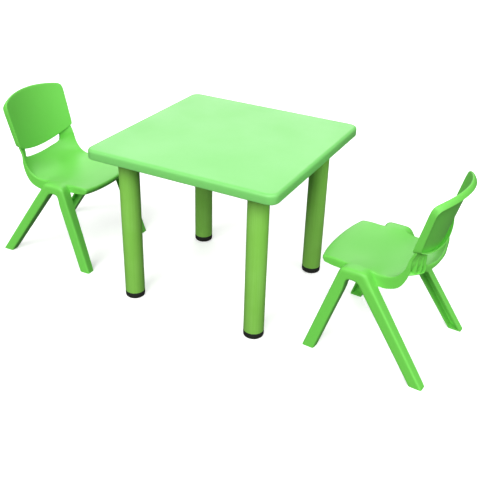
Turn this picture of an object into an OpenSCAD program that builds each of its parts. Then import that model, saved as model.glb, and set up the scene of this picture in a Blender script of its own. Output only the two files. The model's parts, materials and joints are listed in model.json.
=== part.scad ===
// Kids table with two one-piece chairs.
// Millimetres, +Z up. The origin is on the floor at the middle of the set's footprint,
// +X runs along the row chair, table, chair, and the near long side of the table faces -Y.

/* [Table] */
// Side of the square table top
top_side = 600; // [540:5:680]
// Height of the playing surface above the floor
table_h = 509; // [460:1:560]
// Depth of the top's rim
rim_depth = 30; // [26:1:40]
// Corner radius of the top, seen from above
top_corner_r = 28; // [22:1:50]
// Rounding of the top's upper and lower outer edges
top_edge_r = 10; // [6:1:12]
// Distance of the table's centre from the origin along X
table_x = 20.2; // [0:0.1:40]

/* [Table legs] */
// Distance from the top's side to a leg's axis
leg_inset = 88; // [75:1:120]
// Outer diameter of a leg
leg_d = 61; // [50:1:64]
// Height of the black foot cap
foot_h = 20; // [14:1:30]

/* [Chair] */
// Height of the seat above the floor
seat_z = 284; // [260:1:300]
// Width of the seat
seat_w = 268; // [250:1:280]
// Depth from the seat's front edge to the chair's mid plane
seat_front = 178; // [160:1:190]
// Width of the backrest
back_w = 278; // [250:1:300]
// Height of the backrest's top edge in the middle
back_top = 534; // [500:1:560]
// Thickness of the moulded walls
wall = 4; // [3:0.5:5]
// Half the width of the handhold under the backrest
slot_half = 84; // [60:1:90]

/* [Chair places] */
// Left chair's mid plane along X, from the table's centre
left_x = -601.2; // [-700:0.1:-560]
// Left chair's turn about the vertical
left_turn = 1.75; // [0:0.05:5]
// Right chair's mid plane along X, from the table's centre
right_x = 552.4; // [540:0.1:700]
// Right chair's turn about the vertical
right_turn = 4.7; // [0:0.05:5]
// Shift of both chairs towards -Y
chair_y = -25; // [-40:1:0]

/* [Hidden] */
LEGS = ["front", "left", "right", "back"];

$fn = 64;
FINE = 96;

TOP_GREEN = "#b0f7a0";
CHAIR_GREEN = "#7fe36c";
LEG_GREEN = "#7fc544";
SOCKET_GREEN = "#5fae3a";
FOOT_BLACK = "#22271c";
STEEL = "#b8bcc0";

// Each leg's side of the table: +1 or -1 along X, then along Y
LEG_SIGNS = [[1, -1], [-1, -1], [1, 1], [-1, 1]];
leg_place = top_side / 2 - leg_inset;

BIG = 300;                      // larger than half a chair: size of the blocks that cut it

skin = 4;                       // thickness of the table top's skin
rib_t = 3;                      // thickness of an underside rib
rib_depth = 16;                 // how far a rib hangs below the skin
rib_pitch = 75;                 // distance between ribs
skin_z = table_h - skin;        // underside of the skin

boss_h = 5;                     // height of a screw boss under the skin
boss_d = 12;                    // outer diameter of a screw boss
flange_t = 5;                   // thickness of a leg socket's flange
flange_d = 112;                 // diameter of a leg socket's flange
flange_z = skin_z - boss_h - flange_t;
spigot_h = 45;                  // length of the spigot that enters a leg
screw_pcd = 92;                 // pitch circle of a socket's four screws
screw_d = 4.5;                  // shank diameter of a screw
screw_fit = 0.05;               // radial gap around a screw's shank
screw_in = 6;                   // how far a screw enters its boss and the skin
head_d = 9;                     // diameter of a screw's head
head_h = 3;                     // height of a screw's head
pocket_d = flange_d + 6;        // clear space between the ribs for a socket

sleeve_t = 2.6;                 // wall of the plastic sleeve
tube_t = 1.2;                   // wall of the steel core tube
fit_gap = 0.1;                  // radial gap between nested leg parts
tube_d = leg_d - 2 * sleeve_t - 2 * fit_gap;
plug_d = tube_d - 2 * tube_t - 2 * fit_gap;
plug_t = 3;                     // wall of the spigot and of the foot's plug
plug_h = 28;                    // length of the foot cap's plug
foot_edge_r = 6;                // rounding of the foot's lower edge

bend_r = 42;                    // radius of the bend from seat to backrest
bend_axis_x = 75;               // axis that the bend and the uprights curve around
wall_r = 189.2;                 // radius of the uprights' front where it would meet the seat
wall_lean = 12.3;               // lean of the uprights
upright_t = 8;                  // depth of the uprights and of the seat's rear rim
upright_top = 392;              // where the uprights end behind the backrest
upright_half = 131;             // half the width across the uprights
rib_w = 3.5;                    // width of an upright's rear ribs
flange_rear_z = 304;            // lower edge of the seat's rear rim
front_edge_r = 562;             // plan radius of the seat's front edge
slot_low_z = 313;               // lower edge of the handhold, in the middle
slot_rise = 15;                 // how much that edge rises to the handhold's ends
seat_low = 200;                 // level that every part of the seat's rim is above
rim_overlap = 20;               // how far the rim's outline runs past the seat
upright_cut_z = 334;            // level above which the uprights are narrower than the seat

back_r = 286;                   // radius of the backrest's front
back_lean = 14.6;               // lean of the backrest's front
back_ref = [-85, 378];          // front of the backrest's lower corner, as x and z
back_low_rise = 35;             // how much the lower edge rises to the corners
back_crown = 15;                // how much the upper edge rises to the middle
back_low_z = 343;               // lower edge of the backrest, in the middle
back_rim = 9;                   // depth of the backrest's rim at the top
back_rear_r = 490;              // radius of the rim's rear edge
back_rear_lean = 10.5;          // lean of the rim's rear edge
back_rear_ref = [-113, 381];    // rear of the backrest's lower corner, as x and z
back_span = [-220, -50];        // range of x that holds the whole backrest
back_low_r = 7;                 // rounding of the backrest's lower corners
back_top_r = 14;                // rounding of its upper corners
back_taper = 4;                 // how much narrower it is below, on each side

rear_foot = [-182.4, -143.9];   // rear leg's edges at the floor
rear_slope = 0.712;             // lean of the rear leg
front_foot = [145.4, 182.4];    // front leg's edges at the floor
front_slope = -0.306;           // lean of the front leg
saddle_z = 290;                 // top of the leg frame beside the seat
apex_z = 256;                   // top of the opening between the legs
floor_cut = 10;                 // how far the legs' outline runs below the floor
frame_foot_y = [149, 175.4];    // inner and outer face of a leg frame at the floor
frame_top_y = [131, 165];       // inner and outer face of a leg frame at its top

// ---- outline functions ----

function unit(v) = v / norm(v);
function cross2(a, b) = a[0] * b[1] - a[1] * b[0];

// Points of the arc of radius r that rounds corner b between a and c
function round_corner(a, b, c, r, steps = 6) =
    r <= 0 ? [b] :
    let (u = unit(a - b), w = unit(c - b),
         half = acos(max(-1, min(1, u * w))) / 2,
         centre = b + unit(u + w) * (r / sin(half)),
         p = b + u * (r / tan(half)), q = b + w * (r / tan(half)),
         a0 = atan2(p[1] - centre[1], p[0] - centre[0]),
         a1 = atan2(q[1] - centre[1], q[0] - centre[0]),
         turn = (a1 - a0 + 540) % 360 - 180)
    [for (i = [0:steps]) centre + r * [cos(a0 + turn * i / steps), sin(a0 + turn * i / steps)]];

// Closed outline with corner radii
function rounded(pts, radii) =
    let (n = len(pts))
    [for (i = [0:n - 1]) each round_corner(pts[(i + n - 1) % n], pts[i], pts[(i + 1) % n], radii[i])];

// Where the line through p along u meets the line through q along w
function meet(p, u, q, w) = p + u * (cross2(q - p, w) / cross2(u, w));

// Anticlockwise outline moved inwards by d
function inset(pts, d) =
    let (n = len(pts))
    [for (i = [0:n - 1])
        let (a = pts[(i + n - 1) % n], b = pts[i], c = pts[(i + 1) % n],
             u = unit(b - a), w = unit(c - b))
        meet(b + d * [-u[1], u[0]], u, b + d * [-w[1], w[0]], w)];

// ---- general shapes ----

// Outline given as x and z, extruded from y0 to y1
module side_prism(pts, y0, y1) {
    translate([0, y1, 0]) rotate([90, 0, 0]) linear_extrude(y1 - y0) polygon(pts);
}

// Outline given as y and z, extruded from x0 to x1
module front_prism(pts, x0, x1) {
    translate([x0, 0, 0]) rotate([90, 0, 90]) linear_extrude(x1 - x0) polygon(pts);
}

module tube(d_out, d_in, z0, z1) {
    translate([0, 0, z0]) difference() {
        cylinder(d = d_out, h = z1 - z0, $fn = FINE);
        translate([0, 0, -1]) cylinder(d = d_in, h = z1 - z0 + 2, $fn = FINE);
    }
}

module both_sides() {
    children();
    mirror([0, 1, 0]) children();
}

// ---- table top ----

// Half section of a plate whose outer edge is rounded above and below
function plate_section(reach, z0, z1, r_top, r_low, steps = 6) = concat(
    [[0, z0]],
    [for (i = [0:steps]) let (a = 90 * i / steps)
        [reach - r_low + r_low * sin(a), z0 + r_low - r_low * cos(a)]],
    [for (i = [0:steps]) let (a = 90 * i / steps)
        [reach - r_top + r_top * cos(a), z1 - r_top + r_top * sin(a)]],
    [[0, z1]]
);

// Square plate with rounded corners and rounded upper and lower outer edges
module soft_plate(side, z0, z1, corner, r_top, r_low) {
    flat = side / 2 - corner;
    section = plate_section(corner, z0, z1, r_top, r_low);
    translate([-flat, -flat, z0]) cube([2 * flat, 2 * flat, z1 - z0]);
    for (k = [0:3]) rotate([0, 0, 90 * k]) translate([flat, flat, 0]) {
        rotate_extrude(angle = 90, $fn = FINE) polygon(section);
        rotate([90, 0, 0]) linear_extrude(2 * flat) polygon(section);
    }
}

module at_legs() {
    for (s = LEG_SIGNS) translate([table_x + s[0] * leg_place, s[1] * leg_place, 0]) children();
}

module at_leg(i) {
    translate([table_x + LEG_SIGNS[i][0] * leg_place, LEG_SIGNS[i][1] * leg_place, 0]) children();
}

module at_screws() {
    for (k = [0:3]) rotate([0, 0, 45 + 90 * k]) translate([screw_pcd / 2, 0, 0]) children();
}

// Crossing ribs under the skin
module top_ribs() {
    reach = top_side / 2 - wall;
    count = floor(reach / rib_pitch);
    for (k = [-count:count], turn = [0, 90]) rotate([0, 0, turn])
        translate([k * rib_pitch - rib_t / 2, -reach, skin_z - rib_depth])
            cube([rib_t, 2 * reach, rib_depth]);
}

module table_top() {
    z0 = table_h - rim_depth;
    color(TOP_GREEN) difference() {
        union() {
            translate([table_x, 0, 0]) {
                difference() {
                    soft_plate(top_side, z0, table_h, top_corner_r, top_edge_r, 3);
                    soft_plate(top_side - 2 * wall, z0 - 20, skin_z, top_corner_r - wall, 6, 3);
                }
                difference() {
                    top_ribs();
                    translate([-table_x, 0, 0]) at_legs() cylinder(d = pocket_d, h = table_h);
                }
            }
            at_legs() tube(pocket_d + 2 * rib_t, pocket_d, skin_z - rib_depth, skin_z);
            at_legs() at_screws() translate([0, 0, skin_z - boss_h]) cylinder(d = boss_d, h = boss_h);
        }
        at_legs() at_screws() translate([0, 0, skin_z - boss_h - 1])
            cylinder(d = screw_d + 2 * screw_fit, h = screw_in + 1);
    }
}

// ---- legs ----

module leg_socket(i) {
    color(SOCKET_GREEN) at_leg(i) difference() {
        union() {
            translate([0, 0, flange_z]) cylinder(d = flange_d, h = flange_t, $fn = FINE);
            translate([0, 0, flange_z - spigot_h]) cylinder(d = plug_d, h = spigot_h, $fn = FINE);
        }
        translate([0, 0, flange_z - spigot_h - 1])
            cylinder(d = plug_d - 2 * plug_t, h = spigot_h + 1, $fn = FINE);
        at_screws() translate([0, 0, flange_z - 1])
            cylinder(d = screw_d + 2 * screw_fit, h = flange_t + 2);
    }
}

module socket_screws() {
    color(STEEL) at_legs() at_screws() {
        translate([0, 0, flange_z - head_h]) cylinder(d = head_d, h = head_h, $fn = 32);
        translate([0, 0, flange_z - 0.5]) cylinder(d = screw_d, h = flange_t + screw_in, $fn = 32);
    }
}

module leg_sleeve(i) {
    color(LEG_GREEN) at_leg(i) tube(leg_d, leg_d - 2 * sleeve_t, foot_h, flange_z);
}

module leg_core_tube(i) {
    color(STEEL) at_leg(i) tube(tube_d, tube_d - 2 * tube_t, foot_h, flange_z);
}

module leg_foot_cap(i) {
    section = plate_section(leg_d / 2, 0, foot_h, 0.5, foot_edge_r);
    color(FOOT_BLACK) at_leg(i) {
        rotate_extrude($fn = FINE) polygon(section);
        tube(plug_d, plug_d - 2 * plug_t, foot_h - 0.5, foot_h + plug_h);
    }
}

// ---- chair ----

// Space above the seat and in front of the uprights, grown outwards by d.
// A solid of revolution about an upright axis: flat seat, bend, leaning wall.
module sitting_space(d = 0) {
    z = seat_z - d;
    top = back_top + 40;
    foot = wall_r + d / cos(wall_lean) - d * tan(wall_lean);
    rim = foot + (top - z) * tan(wall_lean);
    pts = [[0, z], [foot, z], [rim, top], [0, top]];
    translate([bend_axis_x, 0, 0]) rotate_extrude($fn = FINE)
        polygon(rounded(pts, [0, bend_r + d, 0, 0]));
}

// Cone through the outside of the uprights, without the bend
module wall_cone(d) {
    foot = wall_r + d / cos(wall_lean) - (seat_z - seat_low) * tan(wall_lean);
    high = foot + (upright_top - seat_low) * tan(wall_lean);
    translate([bend_axis_x, 0, seat_low])
        cylinder(r1 = foot, r2 = high, h = upright_top - seat_low, $fn = FINE);
}

// Plan of the seat, moved inwards by d and extruded through the whole height
module seat_plan(d) {
    intersection() {
        translate([-BIG, -seat_w / 2 + d, seat_low]) cube([2 * BIG, seat_w - 2 * d, BIG]);
        translate([seat_front - front_edge_r, 0, seat_low])
            cylinder(r = front_edge_r - d, h = BIG, $fn = FINE);
    }
}

// Side view of the seat's rim and the uprights
function rim_outline() = rounded(
    [[seat_front + rim_overlap, 266], [seat_front + rim_overlap, back_top], [-BIG, back_top],
     [-BIG, flange_rear_z], [-92, flange_rear_z],
     [-80, 284], [-68, 256], [-24, 245], [60, 250], [158, 266]],
    [0, 0, 0, 0, 4, 20, 16, 10, 30, 6]);

// Lower edge of the handhold, from side to side
function slot_edge(reach, steps = 8) =
    [for (i = [-steps:steps]) let (y = reach * i / steps) [y, slot_low_z + slot_rise * pow(y / reach, 2)]];

// Space under the seat's skin and inside its rim
module under_seat() {
    difference() {
        intersection() {
            seat_plan(wall);
            wall_cone(upright_t - wall);
            translate([-BIG, -BIG, flange_rear_z + wall - BIG]) cube([2 * BIG, 2 * BIG, BIG]);
        }
        sitting_space(wall);
    }
}

// Inverted tray of the seat, with the two uprights at its rear
module seat_shell() {
    difference() {
        intersection() {
            seat_plan(0);
            wall_cone(upright_t);
            union() {
                side_prism(rim_outline(), -seat_w, seat_w);
                sitting_space(wall);
            }
        }
        sitting_space();
        under_seat();
        upright_grooves();
        front_prism(concat(slot_edge(slot_half), [[slot_half, back_top], [-slot_half, back_top]]), -BIG, 0);
        both_sides() translate([-BIG, upright_half, upright_cut_z]) cube([BIG, BIG, BIG]);
    }
}

// Grooves between the rear ribs of the uprights
module upright_grooves() {
    pitch = (upright_half - slot_half - rib_w) / 3;
    both_sides() for (k = [0:2]) intersection() {
        translate([-BIG, slot_half + rib_w + k * pitch, flange_rear_z + wall])
            cube([BIG, pitch - rib_w, BIG]);
        difference() {
            translate([-BIG, 0, seat_low]) cube(BIG);
            sitting_space(wall);
        }
    }
}

// Solid cylinder of radius r, grown by d, whose surface leans back through ref
module leaning_cylinder(r, d, lean, ref) {
    depth = sqrt(r * r - pow(back_w / 2, 2));
    translate([ref[0], 0, ref[1]]) rotate([0, -lean, 0])
        translate([depth, 0, -BIG]) cylinder(r = r + d, h = 2 * BIG, $fn = FINE);
}

// Front view of the backrest, moved inwards by d
function back_outline(d, steps = 8) =
    let (h = back_w / 2 - d, low = back_low_z + d, top = back_top - d, foot = h - back_taper,
         side_low = low + back_low_rise, side_top = top - back_crown, peak = [0, top + 3],
         chamfer = [foot - back_low_r, side_low - 5])
    concat(
        [for (i = [-steps:steps]) let (y = chamfer[0] * i / steps) [y, low + back_low_rise * pow(y / h, 2)]],
        round_corner(chamfer, [foot, side_low], [h, side_top], back_low_r),
        round_corner([foot, side_low], [h, side_top], peak, back_top_r),
        [for (i = [-steps:steps]) let (y = -(foot - back_top_r) * i / steps) [y, top - back_crown * pow(y / h, 2)]],
        round_corner(peak, [-h, side_top], [-foot, side_low], back_top_r),
        round_corner([-h, side_top], [-foot, side_low], [-chamfer[0], chamfer[1]], back_low_r)
    );

module back_front(d) {
    leaning_cylinder(back_r, d, back_lean, back_ref);
}

module back_rear() {
    leaning_cylinder(back_rear_r, 0, back_rear_lean, back_rear_ref);
}

module backrest() {
    difference() {
        intersection() {
            front_prism(back_outline(0), back_span[0], back_span[1]);
            union() {
                back_front(back_rim);
                back_rear();
            }
        }
        back_front(0);
        difference() {
            front_prism(back_outline(wall), back_span[0], back_span[1]);
            back_front(wall);
        }
    }
}

// Side view of a leg frame: an upside-down V with a flat saddle on top
function frame_corners() =
    let (back = floor_cut * rear_slope, ahead = floor_cut * front_slope,
         rear_low = [rear_foot[0] - back, -floor_cut], rear_in = [rear_foot[1] - back, -floor_cut],
         front_in = [front_foot[0] - ahead, -floor_cut], front_low = [front_foot[1] - ahead, -floor_cut],
         rear_dir = [rear_slope, 1], front_dir = [front_slope, 1], flat = [1, 0])
    [rear_low, rear_in, meet(rear_in, rear_dir, [0, apex_z], flat), meet(front_in, front_dir, [0, apex_z], flat),
     front_in, front_low, meet(front_low, front_dir, [0, saddle_z], flat),
     meet(rear_low, rear_dir, [0, saddle_z], flat)];

// Front view of a leg frame on the +Y side: it leans outwards towards the floor, and stands upright beside the seat.
// Moved inwards by d, it is the hollow, which is open to the seat's underside and closed beside its top.
function frame_section(d) =
    let (inner = [-2 * d, 0], under = seat_z - 2 * wall,
         inner_low = [frame_foot_y[0], -floor_cut], outer_low = [frame_foot_y[1] - d, -floor_cut],
         outer_top = [frame_top_y[1] - d, saddle_z - d], beside = d > 0 ? seat_w / 2 : frame_top_y[0])
    rounded(concat([inner_low + inner, outer_low, outer_top, [beside, saddle_z - d], [beside, under]],
                   d > 0 ? [[frame_top_y[0], under] + inner] : []), [0, 0, 16 - d, 0, 0, 0]);

module leg_frame() {
    corners = frame_corners();
    intersection() {
        difference() {
            intersection() {
                side_prism(rounded(corners, [0, 0, 11, 11, 0, 0, 16, 16]), seat_w / 4, seat_w);
                front_prism(frame_section(0), -BIG, BIG);
            }
            intersection() {
                side_prism(rounded(inset(corners, wall), [0, 0, 15, 15, 0, 0, 12, 12]), seat_w / 4, seat_w);
                front_prism(frame_section(wall), -BIG, BIG);
            }
        }
        translate([-BIG, 0, 0]) cube([2 * BIG, BIG, BIG]);
    }
}

// One-piece moulded chair that faces +X
module chair() {
    seat_shell();
    backrest();
    both_sides() leg_frame();
}

module left_chair() {
    color(CHAIR_GREEN) translate([table_x + left_x, chair_y, 0]) rotate([0, 0, left_turn]) chair();
}

module right_chair() {
    color(CHAIR_GREEN) translate([table_x + right_x, chair_y, 0]) mirror([1, 0, 0])
        rotate([0, 0, right_turn]) chair();
}

// ---- assembly ----

table_top();
socket_screws();
left_chair();
right_chair();
for (i = [0:3]) {
    leg_sleeve(i);
    leg_core_tube(i);
    leg_socket(i);
    leg_foot_cap(i);
}
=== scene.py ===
"""Looks of a kids table with two one-piece chairs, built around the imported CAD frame.

The table top, the sleeved legs, their feet and fittings and both chairs are modelled here in metres in the
frame's own axes.
"""
from __future__ import annotations

import json
import logging
import math
import sys
from contextlib import contextmanager
from dataclasses import dataclass
from enum import Enum
from typing import Callable, Iterable, Iterator, Sequence

import bpy
from mathutils import Matrix, Vector

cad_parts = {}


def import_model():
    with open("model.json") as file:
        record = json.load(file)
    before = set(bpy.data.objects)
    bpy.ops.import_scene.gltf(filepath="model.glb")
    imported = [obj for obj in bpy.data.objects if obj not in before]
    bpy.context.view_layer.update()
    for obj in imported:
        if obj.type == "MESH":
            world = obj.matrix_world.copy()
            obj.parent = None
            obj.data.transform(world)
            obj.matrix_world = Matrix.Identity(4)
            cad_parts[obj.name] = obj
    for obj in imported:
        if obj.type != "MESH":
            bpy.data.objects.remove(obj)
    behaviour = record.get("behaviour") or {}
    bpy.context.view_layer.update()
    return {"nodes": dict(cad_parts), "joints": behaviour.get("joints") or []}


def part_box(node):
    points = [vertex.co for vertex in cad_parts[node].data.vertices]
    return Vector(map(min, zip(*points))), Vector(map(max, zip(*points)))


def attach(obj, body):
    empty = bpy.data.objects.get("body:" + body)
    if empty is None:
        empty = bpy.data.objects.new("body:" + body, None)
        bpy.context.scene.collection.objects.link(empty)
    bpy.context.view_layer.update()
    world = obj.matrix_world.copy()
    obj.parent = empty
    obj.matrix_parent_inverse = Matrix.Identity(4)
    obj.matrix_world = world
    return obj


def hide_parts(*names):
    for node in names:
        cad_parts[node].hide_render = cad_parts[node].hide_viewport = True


MM = 0.001
LOG = logging.getLogger("kids_table")

Point = tuple[float, float]
Place = Callable[[int, int], Vector]


# ---------------------------------------------------------------- materials


def linear(hex_colour: str) -> tuple[float, float, float, float]:
    """Turn an sRGB hex colour to the linear RGBA that shader sockets hold.

    Args:
        hex_colour: Six hex digits after a hash sign.

    Returns:
        Red, green, blue and full alpha, linear.
    """
    parts = [int(hex_colour[i:i + 2], 16) / 255 for i in (1, 3, 5)]
    red, green, blue = ((c / 12.92) if c <= 0.04045 else ((c + 0.055) / 1.055) ** 2.4 for c in parts)
    return red, green, blue, 1.0


def add_node(tree: bpy.types.NodeTree, kind: str, settings: dict | None = None,
             inputs: dict | None = None) -> bpy.types.Node:
    """Add a shader node, set its properties, and fill or link its inputs.

    Args:
        tree: Node tree that takes the node.
        kind: Blender's type name of the node.
        settings: Property names and values.
        inputs: Socket names or indices, each with a value or with the output socket to link.

    Returns:
        The new node.
    """
    node = tree.nodes.new(kind)
    for name, value in (settings or {}).items():
        setattr(node, name, value)
    for name, value in (inputs or {}).items():
        if isinstance(value, bpy.types.NodeSocket):
            tree.links.new(value, node.inputs[name])
        else:
            node.inputs[name].default_value = value
    return node


def new_material(name: str) -> tuple[bpy.types.Material, bpy.types.NodeTree, bpy.types.Node, bpy.types.Node]:
    """Start a node material that holds a Principled shader and object coordinates.

    Args:
        name: Name of the material.

    Returns:
        The material, its tree, the Principled node and the Texture Coordinate node.
    """
    material = bpy.data.materials.new(name)
    material.use_nodes = True
    tree = material.node_tree
    tree.nodes.clear()
    shader = add_node(tree, "ShaderNodeBsdfPrincipled")
    add_node(tree, "ShaderNodeOutputMaterial", inputs={"Surface": shader.outputs["BSDF"]})
    coords = add_node(tree, "ShaderNodeTexCoord")
    return material, tree, shader, coords


@dataclass(frozen=True)
class MouldedPlastic:
    """Injection-moulded polypropylene with a satin, spark-eroded skin.

    The tool's fine grit breaks the highlight up, the melt's flow leaves broad and very faint clouds in the
    colour, and handling leaves short pale scuffs.
    """

    name: str
    base: str
    cloud: str
    scuff: str
    roughness: float = 0.42
    grit_mm: float = 1.1     # real grit is near 0.1 mm; drawn coarser so that it shows
    grit_depth_mm: float = 0.03
    cloud_mm: float = 160.0
    scuff_amount: float = 0.10
    soft_mm: float = 2.5     # how far light wanders inside the plastic
    softness: float = 0.06

    def build(self) -> bpy.types.Material:
        """Make the material.

        Returns:
            The finished material.
        """
        material, tree, shader, coords = new_material(self.name)
        place = coords.outputs["Object"]
        cloud = add_node(tree, "ShaderNodeTexNoise", inputs={
            "Vector": place, "Scale": 1 / (self.cloud_mm * MM), "Detail": 3.0, "Roughness": 0.5})
        cloud_mix = add_node(tree, "ShaderNodeMix", {"data_type": "RGBA"}, {
            0: cloud.outputs["Fac"], 6: linear(self.base), 7: linear(self.cloud)})
        stretch = add_node(tree, "ShaderNodeMapping", inputs={"Vector": place, "Scale": (1.0, 0.16, 0.5),
                                                              "Rotation": (0.3, 0.2, 0.7)})
        scratch = add_node(tree, "ShaderNodeTexNoise", inputs={
            "Vector": stretch.outputs["Vector"], "Scale": 1 / (7 * MM), "Detail": 4.0, "Roughness": 0.7})
        patch = add_node(tree, "ShaderNodeTexNoise", inputs={
            "Vector": place, "Scale": 1 / (60 * MM), "Detail": 2.0})
        thin = add_node(tree, "ShaderNodeMapRange", inputs={
            "Value": scratch.outputs["Fac"], "From Min": 0.62, "From Max": 0.74})
        where = add_node(tree, "ShaderNodeMapRange", inputs={
            "Value": patch.outputs["Fac"], "From Min": 0.48, "From Max": 0.70, "To Max": self.scuff_amount})
        scuff = add_node(tree, "ShaderNodeMath", {"operation": "MULTIPLY"}, {
            0: thin.outputs["Result"], 1: where.outputs["Result"]})
        colour = add_node(tree, "ShaderNodeMix", {"data_type": "RGBA"}, {
            0: scuff.outputs["Value"], 6: cloud_mix.outputs[2], 7: linear(self.scuff)})
        tree.links.new(colour.outputs[2], shader.inputs["Base Color"])
        rough = add_node(tree, "ShaderNodeMapRange", inputs={
            "Value": cloud.outputs["Fac"], "From Min": 0.3, "From Max": 0.7,
            "To Min": self.roughness - 0.04, "To Max": self.roughness + 0.05})
        tree.links.new(rough.outputs["Result"], shader.inputs["Roughness"])
        grit = add_node(tree, "ShaderNodeTexNoise", inputs={
            "Vector": place, "Scale": 1 / (self.grit_mm * MM), "Detail": 2.0, "Roughness": 0.6})
        bump = add_node(tree, "ShaderNodeBump", inputs={
            "Height": grit.outputs["Fac"], "Strength": 0.35, "Distance": self.grit_depth_mm * MM})
        tree.links.new(bump.outputs["Normal"], shader.inputs["Normal"])
        shader.inputs["IOR"].default_value = 1.49
        shader.inputs["Subsurface Weight"].default_value = self.softness
        shader.inputs["Subsurface Radius"].default_value = (0.7, 1.0, 0.4)
        shader.inputs["Subsurface Scale"].default_value = self.soft_mm * MM
        return material


@dataclass(frozen=True)
class ExtrudedSleeve:
    """Extruded polyethylene sleeve: satin, with fine die lines along the tube and a slight orange peel."""

    name: str
    base: str
    streak: str
    roughness: float = 0.36
    line_mm: float = 2.4     # spacing of the die lines around the tube

    def build(self) -> bpy.types.Material:
        """Make the material.

        Returns:
            The finished material.
        """
        material, tree, shader, coords = new_material(self.name)
        place = coords.outputs["Object"]
        along = add_node(tree, "ShaderNodeMapping", inputs={"Vector": place, "Scale": (1.0, 1.0, 0.012)})
        lines = add_node(tree, "ShaderNodeTexNoise", inputs={
            "Vector": along.outputs["Vector"], "Scale": 1 / (self.line_mm * MM), "Detail": 3.0})
        wide = add_node(tree, "ShaderNodeTexNoise", inputs={
            "Vector": place, "Scale": 1 / (90 * MM), "Detail": 2.0})
        blend = add_node(tree, "ShaderNodeMath", {"operation": "MULTIPLY"}, {
            0: lines.outputs["Fac"], 1: wide.outputs["Fac"]})
        shade = add_node(tree, "ShaderNodeMapRange", inputs={
            "Value": blend.outputs["Value"], "From Min": 0.15, "From Max": 0.40})
        colour = add_node(tree, "ShaderNodeMix", {"data_type": "RGBA"}, {
            0: shade.outputs["Result"], 6: linear(self.base), 7: linear(self.streak)})
        tree.links.new(colour.outputs[2], shader.inputs["Base Color"])
        rough = add_node(tree, "ShaderNodeMapRange", inputs={
            "Value": lines.outputs["Fac"], "From Min": 0.3, "From Max": 0.7,
            "To Min": self.roughness - 0.05, "To Max": self.roughness + 0.06})
        tree.links.new(rough.outputs["Result"], shader.inputs["Roughness"])
        peel = add_node(tree, "ShaderNodeTexNoise", inputs={
            "Vector": place, "Scale": 1 / (3.5 * MM), "Detail": 1.0})
        bump = add_node(tree, "ShaderNodeBump", inputs={
            "Height": peel.outputs["Fac"], "Strength": 0.25, "Distance": 0.05 * MM})
        fine = add_node(tree, "ShaderNodeBump", inputs={
            "Height": lines.outputs["Fac"], "Strength": 0.3, "Distance": 0.03 * MM,
            "Normal": bump.outputs["Normal"]})
        tree.links.new(fine.outputs["Normal"], shader.inputs["Normal"])
        shader.inputs["IOR"].default_value = 1.5
        return material


@dataclass(frozen=True)
class MouldedRubber:
    """Compression-moulded black rubber: matte, with a pale speckled band near the sole that is a painted
    highlight.
    """

    name: str
    base: str
    sole_highlight: str
    highlight_top_mm: float = 5.0

    def build(self) -> bpy.types.Material:
        """Make the material.

        Returns:
            The finished material.
        """
        material, tree, shader, coords = new_material(self.name)
        place = coords.outputs["Object"]
        height = add_node(tree, "ShaderNodeSeparateXYZ", inputs={"Vector": place})
        # painted highlight: the colour turns pale and speckled in the lowest millimetres, towards the sole
        low = add_node(tree, "ShaderNodeMapRange", inputs={
            "Value": height.outputs["Z"], "From Min": 0.0, "From Max": self.highlight_top_mm * MM,
            "To Min": 0.55, "To Max": 0.0})
        speck = add_node(tree, "ShaderNodeTexNoise", inputs={
            "Vector": place, "Scale": 1 / (2.2 * MM), "Detail": 4.0, "Roughness": 0.7})
        amount = add_node(tree, "ShaderNodeMath", {"operation": "MULTIPLY"}, {
            0: low.outputs["Result"], 1: speck.outputs["Fac"]})
        colour = add_node(tree, "ShaderNodeMix", {"data_type": "RGBA"}, {
            0: amount.outputs["Value"], 6: linear(self.base), 7: linear(self.sole_highlight)})
        tree.links.new(colour.outputs[2], shader.inputs["Base Color"])
        rough = add_node(tree, "ShaderNodeMapRange", inputs={
            "Value": speck.outputs["Fac"], "To Min": 0.5, "To Max": 0.75})
        tree.links.new(rough.outputs["Result"], shader.inputs["Roughness"])
        bump = add_node(tree, "ShaderNodeBump", inputs={
            "Height": speck.outputs["Fac"], "Strength": 0.4, "Distance": 0.05 * MM})
        tree.links.new(bump.outputs["Normal"], shader.inputs["Normal"])
        shader.inputs["IOR"].default_value = 1.52
        return material


@dataclass(frozen=True)
class ZincSteel:
    """Bright zinc-plated steel: a grey metal with soft clouds in its plating and fine drawn or turned lines."""

    name: str
    base: str
    cloud: str
    roughness: float = 0.34

    def build(self) -> bpy.types.Material:
        """Make the material.

        Returns:
            The finished material.
        """
        material, tree, shader, coords = new_material(self.name)
        place = coords.outputs["Object"]
        cloud = add_node(tree, "ShaderNodeTexNoise", inputs={
            "Vector": place, "Scale": 1 / (12 * MM), "Detail": 4.0})
        colour = add_node(tree, "ShaderNodeMix", {"data_type": "RGBA"}, {
            0: cloud.outputs["Fac"], 6: linear(self.base), 7: linear(self.cloud)})
        tree.links.new(colour.outputs[2], shader.inputs["Base Color"])
        along = add_node(tree, "ShaderNodeMapping", inputs={"Vector": place, "Scale": (1.0, 1.0, 0.03)})
        lines = add_node(tree, "ShaderNodeTexNoise", inputs={
            "Vector": along.outputs["Vector"], "Scale": 1 / (0.8 * MM), "Detail": 2.0})
        rough = add_node(tree, "ShaderNodeMapRange", inputs={
            "Value": lines.outputs["Fac"], "To Min": self.roughness - 0.08, "To Max": self.roughness + 0.12})
        tree.links.new(rough.outputs["Result"], shader.inputs["Roughness"])
        bump = add_node(tree, "ShaderNodeBump", inputs={
            "Height": lines.outputs["Fac"], "Strength": 0.3, "Distance": 0.02 * MM})
        tree.links.new(bump.outputs["Normal"], shader.inputs["Normal"])
        shader.inputs["Metallic"].default_value = 1.0
        return material


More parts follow.
